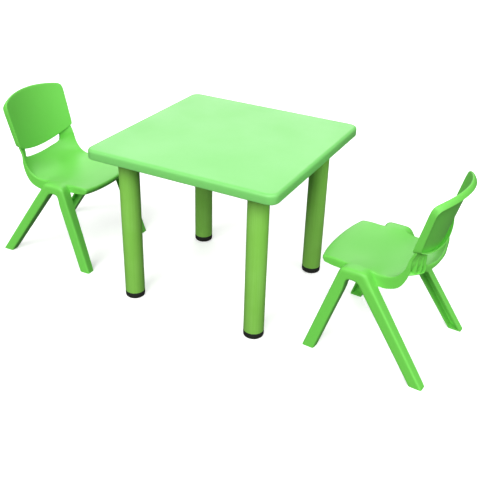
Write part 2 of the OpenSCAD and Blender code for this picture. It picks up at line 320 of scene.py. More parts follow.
class Finish(Enum):
    """Every finish on the set."""

    TOP = MouldedPlastic("polypropylene_top_light_green", "#83da75", "#7cd46d", "#bcecb1", roughness=0.40)
    CHAIR = MouldedPlastic("polypropylene_chair_green", "#76d857", "#6fd350", "#b2ec9e", roughness=0.43)
    SLEEVE = ExtrudedSleeve("polyethylene_sleeve_yellow_green", "#86cc51", "#8fd35d")
    SOCKET = MouldedPlastic("polypropylene_socket_green", "#5fae3a", "#58a634", "#8cc86c", roughness=0.5)
    # the third colour is a painted highlight along the foot's sole
    FOOT = MouldedRubber("rubber_foot_black", "#191c15", "#6d6a60")
    TUBE = ZincSteel("zinc_steel_tube", "#b4b7b8", "#9ca0a3")
    SCREW = ZincSteel("zinc_steel_screw", "#c4c6c4", "#a9acad", roughness=0.28)

    def material(self) -> bpy.types.Material:
        """Return the finish's material, made on first use."""
        return bpy.data.materials.get(self.value.name) or self.value.build()


class Floor(Enum):
    """Finish of the studio floor, which isn't part of the object."""

    PALE = "#fafbf9"


# ---------------------------------------------------------------- workshop


def deselect() -> None:
    """Clear the selection, so that an operator acts on the new piece only."""
    if bpy.context.object is not None and bpy.context.object.mode != "OBJECT":
        bpy.ops.object.mode_set(mode="OBJECT")
    bpy.ops.object.select_all(action="DESELECT")


def take(piece: bpy.types.Object) -> bpy.types.Object:
    """Make a piece the only one selected, and the active one."""
    deselect()
    piece.select_set(True)
    bpy.context.view_layer.objects.active = piece
    return piece


def modify(piece: bpy.types.Object, kind: str, **settings: object) -> None:
    """Add a modifier, set it and apply it.

    Args:
        piece: Mesh to change.
        kind: Blender's type name of the modifier.
        **settings: The modifier's properties and values.
    """
    take(piece)
    modifier = piece.modifiers.new(kind.lower(), kind)
    for name, value in settings.items():
        setattr(modifier, name, value)
    bpy.ops.object.modifier_apply(modifier=modifier.name)


def smooth_mesh(piece: bpy.types.Object, degrees: float = 35.0) -> None:
    """Shade a piece smooth, apart from edges sharper than an angle.

    Args:
        piece: Mesh to shade.
        degrees: Angle from which an edge stays sharp.
    """
    take(piece)
    bpy.ops.object.shade_smooth_by_angle(angle=math.radians(degrees))


def select_verts(piece: bpy.types.Object, test: Callable[[Vector], bool]) -> int:
    """Select the vertices that pass a test, and what lies between them, and leave the piece in edit mode.

    Args:
        piece: Mesh to select on.
        test: Says of a vertex's place whether it is wanted.

    Returns:
        How many vertices are selected.
    """
    take(piece)
    bpy.ops.object.mode_set(mode="EDIT")
    bpy.ops.mesh.select_mode(type="VERT")
    bpy.ops.mesh.select_all(action="DESELECT")
    bpy.ops.object.mode_set(mode="OBJECT")
    count = 0
    for vertex in piece.data.vertices:
        vertex.select = bool(test(vertex.co))
        count += vertex.select
    bpy.ops.object.mode_set(mode="EDIT")
    return count


def select_edges(piece: bpy.types.Object, test: Callable[[Vector, Vector], bool]) -> None:
    """Select the edges that pass a test, and leave the piece in edit mode.

    Args:
        piece: Mesh to select on.
        test: Says of an edge's two ends whether it is wanted.
    """
    take(piece)
    bpy.ops.object.mode_set(mode="EDIT")
    bpy.ops.mesh.select_mode(type="EDGE")
    bpy.ops.mesh.select_all(action="DESELECT")
    bpy.ops.object.mode_set(mode="OBJECT")
    for edge in piece.data.edges:
        first, last = (piece.data.vertices[v].co for v in edge.vertices)
        edge.select = bool(test(first, last))
    bpy.ops.object.mode_set(mode="EDIT")


@contextmanager
def whole_mesh(piece: bpy.types.Object) -> Iterator[None]:
    """Edit a piece with all of its mesh selected, and leave edit mode after."""
    take(piece)
    bpy.ops.object.mode_set(mode="EDIT")
    bpy.ops.mesh.select_all(action="SELECT")
    yield
    bpy.ops.object.mode_set(mode="OBJECT")


def clean(piece: bpy.types.Object, reach_mm: float = 0.01) -> bpy.types.Object:
    """Merge a mesh's doubles, drop what is loose and turn its faces outwards.

    Args:
        piece: Mesh to clean.
        reach_mm: Distance under which vertices merge.

    Returns:
        The same piece.
    """
    with whole_mesh(piece):
        bpy.ops.mesh.remove_doubles(threshold=reach_mm * MM)
        bpy.ops.mesh.delete_loose(use_verts=True, use_edges=True, use_faces=False)
        bpy.ops.mesh.select_all(action="SELECT")
        bpy.ops.mesh.normals_make_consistent(inside=False)
    return piece


def join(name: str, pieces: Sequence[bpy.types.Object]) -> bpy.types.Object:
    """Join meshes into one object.

    Args:
        name: Name of the joined piece.
        pieces: Meshes to join, of which the first is kept.

    Returns:
        The joined piece.
    """
    take(pieces[0])
    for piece in pieces[1:]:
        piece.select_set(True)
    if len(pieces) > 1:
        bpy.ops.object.join()
    pieces[0].name = pieces[0].data.name = name
    return pieces[0]


def block(name: str, low: Sequence[float], high: Sequence[float]) -> bpy.types.Object:
    """Add a box by its corners.

    Args:
        name: Name of the piece.
        low: Lowest corner, in metres.
        high: Highest corner, in metres.

    Returns:
        The box, with its place in its mesh.
    """
    deselect()
    middle = [(a + b) / 2 for a, b in zip(low, high)]
    bpy.ops.mesh.primitive_cube_add(size=1, location=middle, scale=[b - a for a, b in zip(low, high)])
    piece = bpy.context.object
    piece.name = piece.data.name = name
    bpy.ops.object.transform_apply(location=True, rotation=True, scale=True)
    return piece


def rod(name: str, radius: float, low: Sequence[float], height: float, sides: int = 48) -> bpy.types.Object:
    """Add an upright cylinder.

    Args:
        name: Name of the piece.
        radius: Its radius, in metres.
        low: Middle of its lower end, in metres.
        height: Its height, in metres.
        sides: Number of faces around it.

    Returns:
        The cylinder, with its place in its mesh.
    """
    deselect()
    bpy.ops.mesh.primitive_cylinder_add(vertices=sides, radius=radius, depth=height,
                                        location=(low[0], low[1], low[2] + height / 2))
    piece = bpy.context.object
    piece.name = piece.data.name = name
    bpy.ops.object.transform_apply(location=True, rotation=True, scale=True)
    return piece


def sheet_patch(name: str, rows: int, cols: int, place: Place) -> bpy.types.Object:
    """Add a grid and lay its vertices on a curved surface.

    Args:
        name: Name of the piece.
        rows: Number of vertices along the first direction.
        cols: Number of vertices along the second direction.
        place: Gives the place of a vertex, in millimetres, from its row and column.

    Returns:
        The laid grid.
    """
    deselect()
    bpy.ops.mesh.primitive_grid_add(x_subdivisions=cols - 1, y_subdivisions=rows - 1, size=1)
    piece = bpy.context.object
    piece.name = piece.data.name = name
    for vertex in piece.data.vertices:
        col = round((vertex.co.x + 0.5) * (cols - 1))
        row = round((vertex.co.y + 0.5) * (rows - 1))
        vertex.co = place(row, col) * MM
    return piece


def turned(name: str, outline: Sequence[Point], steps: int = 96) -> bpy.types.Object:
    """Spin a closed outline around the upright axis.

    Args:
        name: Name of the piece.
        outline: Radius and height of each corner, in millimetres.
        steps: Number of faces around the piece.

    Returns:
        The turned piece, around the origin.
    """
    deselect()
    bpy.ops.mesh.primitive_circle_add(vertices=len(outline), radius=1, fill_type="NOTHING")
    piece = bpy.context.object
    piece.name = piece.data.name = name
    for vertex, (radius, height) in zip(piece.data.vertices, outline):
        vertex.co = (radius * MM, 0, height * MM)
    bpy.ops.object.mode_set(mode="EDIT")
    bpy.ops.mesh.select_all(action="SELECT")
    bpy.ops.mesh.spin(steps=steps, angle=math.tau, center=(0, 0, 0), axis=(0, 0, 1))
    bpy.ops.object.mode_set(mode="OBJECT")
    return clean(piece)


def arc(centre: Point, radius: float, start: float, end: float, steps: int = 6) -> list[Point]:
    """Return points of an arc.

    Args:
        centre: Middle of the arc.
        radius: Its radius.
        start: First angle, in degrees.
        end: Last angle, in degrees.
        steps: Number of chords.

    Returns:
        Points from the first angle to the last.
    """
    angles = [math.radians(start + (end - start) * i / steps) for i in range(steps + 1)]
    return [(centre[0] + radius * math.cos(a), centre[1] + radius * math.sin(a)) for a in angles]


def copy_at(piece: bpy.types.Object, name: str, matrix: Matrix) -> bpy.types.Object:
    """Copy a piece with its own mesh, and move the copy's mesh.

    Args:
        piece: Piece to copy.
        name: Name of the copy.
        matrix: Move of the mesh.

    Returns:
        The copy, whose object stays at the origin.
    """
    copy = piece.copy()
    copy.data = piece.data.copy()
    copy.name = copy.data.name = name
    bpy.context.scene.collection.objects.link(copy)
    copy.data.transform(matrix)
    return copy


def discard(pieces: Iterable[bpy.types.Object]) -> None:
    """Remove pieces that were only needed to make others."""
    for piece in pieces:
        mesh = piece.data
        bpy.data.objects.remove(piece)
        bpy.data.meshes.remove(mesh)


def hand_over(piece: bpy.types.Object, finish: Finish, body: str, slot: str, *nodes: str) -> None:
    """Dress a finished piece, tie it to its body and hide the CAD nodes that it replaces.

    Args:
        piece: Finished mesh.
        finish: Its finish.
        body: CAD body that it moves with.
        slot: Material slot of the record; not used.
        *nodes: CAD nodes that it replaces.
    """
    piece.data.materials.clear()
    piece.data.materials.append(finish.material())
    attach(piece, body)
    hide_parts(*nodes)
    LOG.info("%s: %d faces, moves with %s", piece.name, len(piece.data.polygons), body)


# ---------------------------------------------------------------- table


LEG_NAMES = ("front", "left", "right", "back")


@dataclass
class TableTop:
    """Square moulded top: a skin with a rounded rim, and crossing ribs beneath."""

    corner_r: float = 28.0
    edge_r: float = 10.0
    low_r: float = 3.0
    rim_depth: float = 30.0
    wall: float = 4.0
    rib_t: float = 3.0
    rib_tip: float = 2.0
    rib_depth: float = 16.0
    rib_pitch: float = 75.0
    pocket_r: float = 59.0
    boss_r: float = 6.0
    boss_h: float = 5.0

    def __post_init__(self) -> None:
        """Read the top's place from the frame."""
        self.low, self.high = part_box("table_top")
        self.middle = (self.low + self.high) / 2
        self.skin_z = self.high.z - self.wall * MM

    def shell(self) -> bpy.types.Object:
        """Model the skin and the rim.

        Returns:
            The hollow plate.
        """
        rim_low = self.high.z - self.rim_depth * MM
        piece = block("table_top_shell", (self.low.x, self.low.y, rim_low), self.high)
        select_edges(piece, lambda a, b: abs(a.z - b.z) > self.rim_depth * MM / 2)
        bpy.ops.mesh.bevel(offset=self.corner_r * MM, segments=14, affect="EDGES")
        select_verts(piece, lambda co: co.z > self.high.z - MM)
        bpy.ops.mesh.select_mode(type="FACE")
        bpy.ops.mesh.region_to_loop()
        bpy.ops.mesh.bevel(offset=self.edge_r * MM, segments=8, affect="EDGES")
        select_verts(piece, lambda co: co.z < rim_low + MM)
        bpy.ops.mesh.select_mode(type="FACE")
        bpy.ops.mesh.inset(thickness=self.wall * MM)
        bpy.ops.mesh.extrude_region_move(
            TRANSFORM_OT_translate={"value": (0, 0, (self.rim_depth - self.wall) * MM)})
        reach = (self.high.x - self.low.x) / 2 - self.wall * MM / 2
        select_verts(piece, lambda co: co.z < rim_low + MM and (
            max(abs(co.x - self.middle.x), abs(co.y - self.middle.y)) > reach
            or (abs(co.x - self.middle.x) > reach - self.corner_r * MM
                and abs(co.y - self.middle.y) > reach - self.corner_r * MM
                and math.hypot(abs(co.x - self.middle.x) - reach + self.corner_r * MM,
                               abs(co.y - self.middle.y) - reach + self.corner_r * MM) > self.corner_r * MM)))
        bpy.ops.mesh.select_mode(type="EDGE")
        bpy.ops.mesh.bevel(offset=self.low_r * MM, segments=4, affect="EDGES")
        bpy.ops.object.mode_set(mode="OBJECT")
        return clean(piece)

    def rib(self, offset: float, along_x: bool) -> bpy.types.Object:
        """Model one drafted rib.

        Args:
            offset: Its distance from the top's middle, in metres.
            along_x: Whether it runs along X, and not along Y.

        Returns:
            The rib, which ends inside the rim's wall.
        """
        reach = (self.high.x - self.low.x) / 2 - self.wall * MM / 2
        half = self.rib_t * MM / 2
        along, axis = (0, 1) if along_x else (1, 0)
        centre = self.middle[axis] + offset
        first, last = [0.0, 0.0], [0.0, 0.0]
        first[along], last[along] = self.middle[along] - reach, self.middle[along] + reach
        first[axis], last[axis] = centre - half, centre + half
        tip_z = self.skin_z - self.rib_depth * MM
        piece = block("rib", (*first, tip_z), (*last, self.skin_z + MM))
        for vertex in piece.data.vertices:
            if vertex.co.z < tip_z + MM:
                vertex.co[axis] = centre + (vertex.co[axis] - centre) * self.rib_tip / self.rib_t
        return piece

    def build(self, legs: dict[str, Vector]) -> bpy.types.Object:
        """Model the whole top.

        Args:
            legs: Axis of each leg, from its name.

        Returns:
            The finished top.
        """
        plate = self.shell()
        reach = (self.high.x - self.low.x) / 2
        count = int((reach / MM - self.wall) // self.rib_pitch)
        tip_z = self.skin_z - self.rib_depth * MM
        under = []
        for offset in [k * self.rib_pitch * MM for k in range(-count, count + 1)]:
            for along_x in (True, False):
                rib = self.rib(offset, along_x)
                for axis in legs.values():
                    distance = abs(offset + self.middle[along_x] - axis[along_x])
                    if distance < self.pocket_r * MM:
                        pocket = rod("pocket", self.pocket_r * MM, (axis.x, axis.y, tip_z - 10 * MM),
                                     (self.rib_depth + 12) * MM, 96)
                        modify(rib, "BOOLEAN", operation="DIFFERENCE", solver="EXACT", object=pocket)
                        discard([pocket])
                under.append(rib)
        for axis in legs.values():
            ring = turned("ring", [(self.pocket_r - 0.02, tip_z / MM), (self.pocket_r + self.rib_tip, tip_z / MM),
                                   (self.pocket_r + self.rib_t, self.skin_z / MM + 1),
                                   (self.pocket_r - 0.02, self.skin_z / MM + 1)], 96)
            ring.data.transform(Matrix.Translation((axis.x, axis.y, 0)))
            under.append(ring)
            under += [rod("boss", self.boss_r * MM, (x, y, self.skin_z - self.boss_h * MM),
                          (self.boss_h + 1) * MM, 32) for x, y in screw_places(axis)]
        for part in under:
            modify(plate, "BOOLEAN", operation="UNION", solver="EXACT", object=part)
        discard(under)
        clean(plate)
        smooth_mesh(plate, 32)
        return plate


def screw_places(axis: Vector, circle: float = 92.0) -> list[Point]:
    """Return where a leg's four screws stand.

    Args:
        axis: Axis of the leg.
        circle: Diameter of the screws' circle, in millimetres.

    Returns:
        X and Y of each screw, in metres.
    """
    angles = [math.radians(45 + 90 * k) for k in range(4)]
    return [(axis.x + circle / 2 * MM * math.cos(a), axis.y + circle / 2 * MM * math.sin(a)) for a in angles]


@dataclass
class TableLeg:
    """Round leg: a plastic sleeve on a steel tube, with a rubber foot and a screwed socket."""

    sleeve_r: float = 30.5
    sleeve_t: float = 2.6
    edge: float = 0.6
    plug_r: float = 26.4
    plug_t: float = 3.0
    plug_top: float = 48.0
    foot_h: float = 20.0
    foot_r: float = 6.0
    flange_r: float = 56.0
    flange_t: float = 5.0
    spigot: float = 45.0
    hole_r: float = 2.3

    def sleeve(self, low: float, high: float) -> bpy.types.Object:
        """Turn the sleeve, whose ends have broken edges.

        Args:
            low: Height of its lower end.
            high: Height of its upper end.

        Returns:
            The sleeve around the origin.
        """
        outer, inner, e = self.sleeve_r, self.sleeve_r - self.sleeve_t, self.edge
        return turned("leg_sleeve", [
            *arc((outer - e, low + e), e, -90, 0, 3), *arc((outer - e, high - e), e, 0, 90, 3),
            (inner, high), (inner, low)], 128)

    def foot(self) -> bpy.types.Object:
        """Turn the foot cap: a crowned side, a ringed sole and a plug.

        Returns:
            The foot cap around the origin.
        """
        r, edge, top = self.sleeve_r, self.foot_r, self.foot_h
        sole = [(0.0, 1.0), (6.0, 1.0), (6.4, 0.0), (11.0, 0.0), (11.4, 1.0), (13.6, 1.0), (14.0, 0.0),
                (18.0, 0.0), (18.4, 1.0), (20.6, 1.0), (21.0, 0.0)]
        side = arc((r - edge, edge), edge, -90, 0, 8) + [(r + 0.25, 10.0), (r + 0.3, 14.0)]
        lip = arc((r - 0.9, top - 0.9), 0.9, 0, 90, 4)
        plug = [(self.plug_r, top), (self.plug_r, self.plug_top - 2), (self.plug_r - 1, self.plug_top),
                (self.plug_r - self.plug_t, self.plug_top), (self.plug_r - self.plug_t, top), (0.0, top)]
        return turned("leg_foot", sole + side + lip + plug, 112)

    def socket(self, flange_z: float) -> bpy.types.Object:
        """Turn the socket and drill its screw holes.

        Args:
            flange_z: Height of the flange's underside.

        Returns:
            The socket around the origin.
        """
        top, low, inner = flange_z + self.flange_t, flange_z - self.spigot, self.plug_r - self.plug_t
        flange = arc((self.flange_r - 1.5, flange_z + 1.5), 1.5, -90, 0, 4) + [
            (self.flange_r, top - 0.5), (self.flange_r - 0.5, top)]
        piece = turned("leg_socket", [
            (0.0, top - 2), (8.0, top - 2), (10.0, top), *flange[::-1],
            (self.plug_r, flange_z), (self.plug_r, low + 1), (self.plug_r - 1, low), (inner, low),
            (inner, flange_z), (0.0, flange_z)], 96)
        drills = join("drills", [rod("drill", self.hole_r * MM, (x, y, (flange_z - 5) * MM),
                                     (self.flange_t + 10) * MM, 24) for x, y in screw_places(Vector())])
        modify(piece, "BOOLEAN", operation="DIFFERENCE", solver="EXACT", object=drills)
        discard([drills])
        return clean(piece)


@dataclass
class Screw:
    """Pan-head screw with a cross recess in its head, which faces down."""

    head_r: float = 4.5
    head_h: float = 3.0
    shank_r: float = 2.25
    slot_w: float = 1.1
    slot_l: float = 4.6
    slot_deep: float = 1.6

    def build(self, flange_z: float, length: float) -> bpy.types.Object:
        """Model the screw.

        Args:
            flange_z: Height of the face that its head bears on.
            length: How far it reaches above that face.

        Returns:
            The screw around the origin.
        """
        low = flange_z - self.head_h
        dome = arc((self.head_r - 1.8, low + 1.8), 1.8, -90, 0, 6)
        piece = turned("screw", [
            (0.0, low), *dome, (self.head_r, flange_z), (self.shank_r, flange_z),
            (self.shank_r, flange_z + length - 1), (self.shank_r - 0.8, flange_z + length),
            (0.0, flange_z + length)], 40)
        half, reach = self.slot_w / 2 * MM, self.slot_l / 2 * MM
        for x, y in ((half, reach), (reach, half)):
            cut = block("cut", (-x, -y, (low - 1) * MM), (x, y, (low + self.slot_deep) * MM))
            modify(piece, "BOOLEAN", operation="DIFFERENCE", solver="EXACT", object=cut)
            discard([cut])
        return clean(piece)


@dataclass
class Table:
    """The table: its top, four legs and their fittings."""

    body: str = "table"

    def __post_init__(self) -> None:
        """Read each leg's axis from the frame."""
        self.legs = {}
        for name in LEG_NAMES:
            low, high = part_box(f"{name}_leg_sleeve")
            self.legs[name] = Vector(((low.x + high.x) / 2, (low.y + high.y) / 2, 0))
        self.sleeve_low, self.sleeve_high = low.z / MM, high.z / MM

    def fit(self, part: bpy.types.Object, kind: str, finish: Finish, slot: str) -> None:
        """Copy a leg's part to all four legs.

        Args:
            part: Part around the origin, which is used up.
            kind: What the CAD calls it.
            finish: Its finish.
            slot: Material slot of the record.
        """
        smooth_mesh(part)
        for name, axis in self.legs.items():
            piece = copy_at(part, f"{name}_{part.name}_finished", Matrix.Translation(axis))
            hand_over(piece, finish, self.body, slot, f"{name}_leg_{kind}")
        discard([part])

    def build(self, nodes: dict[str, bpy.types.Object]) -> None:
        """Model and dress the table.

        Args:
            nodes: The CAD nodes, of which the core tubes stay.
        """
        hand_over(TableTop().build(self.legs), Finish.TOP, self.body, "table_top_plastic", "table_top")
        leg = TableLeg()
        self.fit(leg.sleeve(self.sleeve_low, self.sleeve_high), "sleeve", Finish.SLEEVE, "leg_plastic")
        self.fit(leg.foot(), "foot_cap", Finish.FOOT, "foot_rubber")
        flange_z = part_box("front_leg_socket")[1].z / MM - leg.flange_t
        self.fit(leg.socket(flange_z), "socket", Finish.SOCKET, "socket_plastic")
        screw_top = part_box("socket_screws")[1].z / MM
        screw = Screw().build(flange_z, screw_top - flange_z)
        places = [place for axis in self.legs.values() for place in screw_places(axis)]
        screws = join("socket_screws_finished", [
            copy_at(screw, f"screw_{i}", Matrix.Translation((x, y, 0))) for i, (x, y) in enumerate(places)])
        discard([screw])
        smooth_mesh(screws)
        hand_over(screws, Finish.SCREW, self.body, "screw_steel", "socket_screws")
        for name in self.legs:
            tube = nodes[f"{name}_leg_core_tube"]
            tube.data.materials.clear()
            tube.data.materials.append(Finish.TUBE.material())
            LOG.info("%s: kept from the frame", tube.name)


# ---------------------------------------------------------------- chair


@dataclass(frozen=True)
class Station:
    """A line across the seat: its place on the mid plane and at the edge, the edge's half width and rim.

    Each place is X forwards and Z up from the chair's middle on the floor, in millimetres.
    """

    middle: Point
    edge: Point
    half: float
    rim_middle: Point
    rim_low: Point
    flat_x: float = 2.4      # how late the line leaves its middle towards the edge, along X and up
    flat_z: float = 2.4


def sharpened(points: list[Vector], first: int, last: int, rounds: int = 2) -> list[Vector]:
    """Move a line's control points outwards so that its smoothed curve passes where they stood.

    Args:
        points: Places that the smooth curve should pass.
        first: First point that may move.
        last: Last point that may move.
        rounds: Number of corrections.

    Returns:
        The control points.
    """
    control = [point.copy() for point in points]
    for _ in range(rounds):
        before = [point.copy() for point in control]
        for i in range(max(first, 1), min(last, len(points) - 2) + 1):
            curve = (before[i - 1] + before[i] * 4 + before[i + 1]) / 6
            control[i] = before[i] + points[i] - curve
    return control


@dataclass
class Backrest:
    """Curved backrest: a concave front with a rim turned back all round, and a hollow rear."""

    radius: float = 286.0
    lean: float = 14.6
    corner: Point = (-81.5, 378.0)
    low_z: float = 342.5
    low_rise: float = 35.0
    top_z: float = 535.0
    crown: float = 15.0
    half_low: float = 135.5
    half_top: float = 139.8
    low_round: float = 9.0
    top_round: float = 17.0

    def front_x(self, y: float, z: float) -> float:
        """Return where the front face stands at a place across it and a height."""
        lean = math.radians(self.lean)
        sag = math.sqrt(self.radius ** 2 - self.half_top ** 2) - math.sqrt(self.radius ** 2 - y ** 2)
        return self.corner[0] - (z - self.corner[1]) * math.tan(lean) + sag / math.cos(lean)

    def rounded(self, across: float, up: float) -> Point:
        """Pull a place near a corner of the outline in to the corner's round.

        Args:
            across: 0 on the mid plane, 1 at the side.
            up: 0 at the lower edge, 1 at the upper edge.

        Returns:
            The rounded place.
        """
        radius = self.top_round if up > 0.5 else self.low_round
        wide, high = radius / self.half_top, radius / (self.top_z - self.low_z - self.low_rise)
        rise = up if up > 0.5 else 1 - up
        p, q = (across - 1 + wide) / wide, (rise - 1 + high) / high
        if p <= 0 or q <= 0:
            return across, up
        pull = max(p, q) / math.hypot(p, q)
        across, rise = 1 - wide + wide * p * pull, 1 - high + high * q * pull
        return across, rise if up > 0.5 else 1 - rise

    def front_point(self, across: float, up: float) -> Vector:
        """Return a point of the front face.

        Args:
            across: 0 on the mid plane, 1 at the side.
            up: 0 at the lower edge, 1 at the upper edge.

        Returns:
            The point, in millimetres.
        """
        across, up = self.rounded(across, up)
        y = across * (self.half_low + (self.half_top - self.half_low) * up)
        low = self.low_z + self.low_rise * across ** 2
        high = self.top_z - self.crown * across ** 2.2
        z = low + (high - low) * up
        return Vector((self.front_x(min(y, self.half_top), z), y, z))

    def rear_point(self, across: float, up: float) -> Vector:
        """Return where the rim ends behind a point of the front's outline.

        Args:
            across: 0 on the mid plane, 1 at the side.
            up: 0 at the lower edge, 1 at the upper edge.

        Returns:
            The point, in millimetres.
        """
        front = self.front_point(across, up)
        if up == 0:     # lower rim, which rises as it runs back
            return front + Vector((-19 - 3 * across ** 2, -3.5 * across ** 6, 12.5 - 9.5 * across ** 2))
        if up == 1:     # upper rim, which rolls over
            return front + Vector((-13.5 - 4 * across ** 4, 0, -14 + 3 * across ** 4))
        return front + Vector((-22 + 4.5 * up, -3.5 + 3.5 * up, 3 - 13.5 * up))

    def build(self) -> bpy.types.Object:
        """Model one half of the backrest's outer skin, without its thickness.

        Returns:
            The half on the +Y side.
        """
        across = (0.0, 0.22, 0.44, 0.64, 0.80, 0.90, 0.96, 1.0)
        up = (0.0, 0.035, 0.10, 0.25, 0.42, 0.60, 0.78, 0.89, 0.96, 1.0)
        front = sheet_patch("back_front", len(up), len(across),
                            lambda row, col: self.front_point(across[col], up[row]))
        outline = [*((a, 0.0) for a in across), *((1.0, u) for u in up[1:-1]),
                   *((a, 1.0) for a in across[::-1])]
        depth = (0.0, 0.30, 0.80, 1.0)

        def rim(row: int, col: int) -> Vector:
            """Return a point of the rim, along its outline and back."""
            spot = outline[row]
            start, end = self.front_point(*spot), self.rear_point(*spot)
            point = start.lerp(end, depth[col])
            if spot[1] == 1.0:
                point += Vector((-1.5, 0, 4.0)) * (0, 1, 0.5, 0)[col]     # the roll stays full before it drops
            return point

        return join("backrest", [front, sheet_patch("back_rim", len(outline), len(depth), rim)])


@dataclass
class Seat:
    """Dished seat that bends up into two uprights, with a rim turned down at its sides."""

    lines: tuple[Station, ...] = (
        Station((175, 264), (158, 267), 129, (158, 267), (158, 267)),
        Station((181, 272), (163.5, 275), 129.5, (163.5, 275), (163.5, 275)),
        Station((180.5, 281.5), (163, 284), 129, (163.5, 275), (158, 267)),
        Station((171, 284), (154, 286.5), 129, (153, 278), (149, 266)),
        Station((136, 283), (125, 289), 129.5, (125, 280), (127, 262)),
        Station((97, 281.5), (90, 287), 130.8, (97.5, 273), (102.4, 257)),
        Station((70, 280), (68, 290), 130.6, (68, 290), (68, 290)),
        Station((42, 279), (44, 290), 130.6, (44, 290), (44, 290)),
        Station((14, 278), (20, 288), 130.7, (7, 268), (-9.6, 244)),
        Station((-16, 278), (-8, 282), 130.5, (-13, 273), (-24, 245)),
        Station((-48, 279), (-36, 286), 131, (-39, 278), (-47, 252.5)),
        Station((-78, 283.5), (-55, 298), 131, (-59, 290), (-69, 264)),
        Station((-103, 295), (-69.5, 319), 131, (-76, 315), (-86, 304), 2.7, 2.0),
        Station((-121, 313), (-76.5, 342), 131, (-81.5, 341), (-87.5, 336), 2.8, 1.8),
    )
    # Each line of the uprights: X, Y and Z beside the handhold, and X and Z at the edge
    upright: tuple[tuple[float, float, float, float, float], ...] = (
        (-106.5, 88.8, 338, -78.5, 351), (-107.0, 89.5, 349, -84.0, 365), (-108.0, 90.2, 360, -90.5, 378))
    upright_half: float = 130.0
    across: tuple[float, ...] = (0.0, 0.20, 0.41, 0.59, 0.672, 0.77, 0.87, 0.945, 1.0)
    slot_col: int = 4
    rib_cols: tuple[int, ...] = (4, 5, 6)
    rib_depth: float = 6.2
    shelf_z: float = 304.5

    def __post_init__(self) -> None:
        """Lay out the skin's control points."""
        rows = len(self.lines) + len(self.upright)
        raw = [[self.raw_point(row, col) for col in range(len(self.across))] for row in range(rows)]
        columns = [sharpened([raw[row][col] for row in range(rows)], 5,
                             rows - 2 if col >= self.slot_col else len(self.lines) - 2)
                   for col in range(len(self.across))]
        self.table = [[columns[col][row] for col in range(len(self.across))] for row in range(rows)]

    def raw_point(self, row: int, col: int) -> Vector:
        """Return where the smooth skin passes.

        Args:
            row: Line across the seat, counted from the front lip; the uprights follow the seat's lines.
            col: Step from the mid plane to the edge.

        Returns:
            The point, in millimetres.
        """
        share = self.across[col]
        if row < len(self.lines):
            line = self.lines[row]
            x = line.middle[0] + (line.edge[0] - line.middle[0]) * share ** line.flat_x
            z = line.middle[1] + (line.edge[1] - line.middle[1]) * share ** line.flat_z
            return Vector((x, share * line.half, z))
        x, y, z, edge_x, edge_z = self.upright[row - len(self.lines)]
        side = max(0.0, (share - self.across[self.slot_col]) / (1 - self.across[self.slot_col]))
        return Vector((x + (edge_x - x) * side ** 1.4, y + (self.upright_half - y) * side,
                       z + (edge_z - z) * side))

    def point(self, row: int, col: int) -> Vector:
        """Return a control point of the seat's skin."""
        return self.table[row][col]

    def skin(self) -> bpy.types.Object:
        """Model the seat as far as the handhold."""
        return sheet_patch("seat_skin", len(self.lines), len(self.across), self.point)

    def upright_skin(self) -> bpy.types.Object:
        """Model the front of one upright."""
        first = len(self.lines) - 1
        return sheet_patch("upright_skin", len(self.upright) + 1, len(self.across) - self.slot_col,
                           lambda row, col: self.point(first + row, self.slot_col + col))

    def side_rim(self, rows: Sequence[int], junction: dict[int, tuple[Vector, Vector]]) -> bpy.types.Object:
        """Model a run of the rim that turns down at the seat's side.

        Args:
            rows: Lines of the seat that the run follows.
            junction: Middle and lower point of the rim where a line meets the leg frame.

        Returns:
            The run on the +Y side.
        """
        last = len(self.across) - 1

        def place(row: int, col: int) -> Vector:
            """Return a point of the rim, along the seat and down."""
            line_row = rows[row]
            top = self.point(line_row, last)
            if col == 0:
                return top
            if line_row in junction:
                return junction[line_row][col - 1]
            if line_row == 2:           # the front lip's own edge
                return self.point(2 - col, last)
            if line_row >= len(self.lines):
                return top + Vector((-4.5, 0, 0)) * col
            x, z = self.lines[line_row].rim_middle if col == 1 else self.lines[line_row].rim_low
            return Vector((x, top.y, z))

        return sheet_patch("side_rim", len(rows), 3, place)

    def handhold_rim(self) -> bpy.types.Object:
        """Model the lip behind the handhold: a skirt along its lower edge and a return up its side."""
        last = len(self.lines) - 1
        path = [(last, col) for col in range(self.slot_col + 1)]
        path += [(last + k, self.slot_col) for k in range(1, len(self.upright) + 1)]

        def place(row: int, col: int) -> Vector:
            """Return a point of the lip, along the handhold and back."""
            spot = self.point(*path[row])
            if col == 0:
                return spot
            if row > self.slot_col:
                return spot + Vector((-(3.0, 5.5, self.rib_depth)[col - 1], 0, 0.3))
            if col == 3:
                return Vector((spot.x - (5.5 if row < self.slot_col else 7.0), spot.y, self.shelf_z))
            return spot + (Vector((-3.5, 0, 0.4)) if col == 1 else Vector((-5.5, 0, -4.0)))

        return sheet_patch("handhold_rim", len(path), 4, place)

    def rear_x(self, row: int, col: int) -> float:
        """Return where the rear ribs end behind a point of the skin."""
        last = len(self.lines) - 1
        return self.point(max(row, last), col).x - self.rib_depth * (1, 1, 0.85, 0.65)[max(0, row - last)]

    def rear_rib(self, col: int) -> bpy.types.Object:
        """Model an upright's rear rib as a thin strip.

        Args:
            col: Column of the skin that it stands behind.

        Returns:
            The strip, which gets its thickness later.
        """
        rows = range(len(self.lines) - 2, len(self.lines) + len(self.upright))
        inset = Vector((0, 1.6 if col == self.slot_col else 0, 0))

        def place(row: int, step: int) -> Vector:
            """Return a point of the rib, up the upright and back."""
            spot = self.point(rows[row], col) + Vector((-2.0, 0, 0))
            low = row == 0
            rear = Vector((self.rear_x(rows[row], col), spot.y, self.shelf_z if low else spot.z - 1))
            return spot.lerp(rear, step / 2) + inset

        return sheet_patch("rear_rib", len(rows), 3, place)

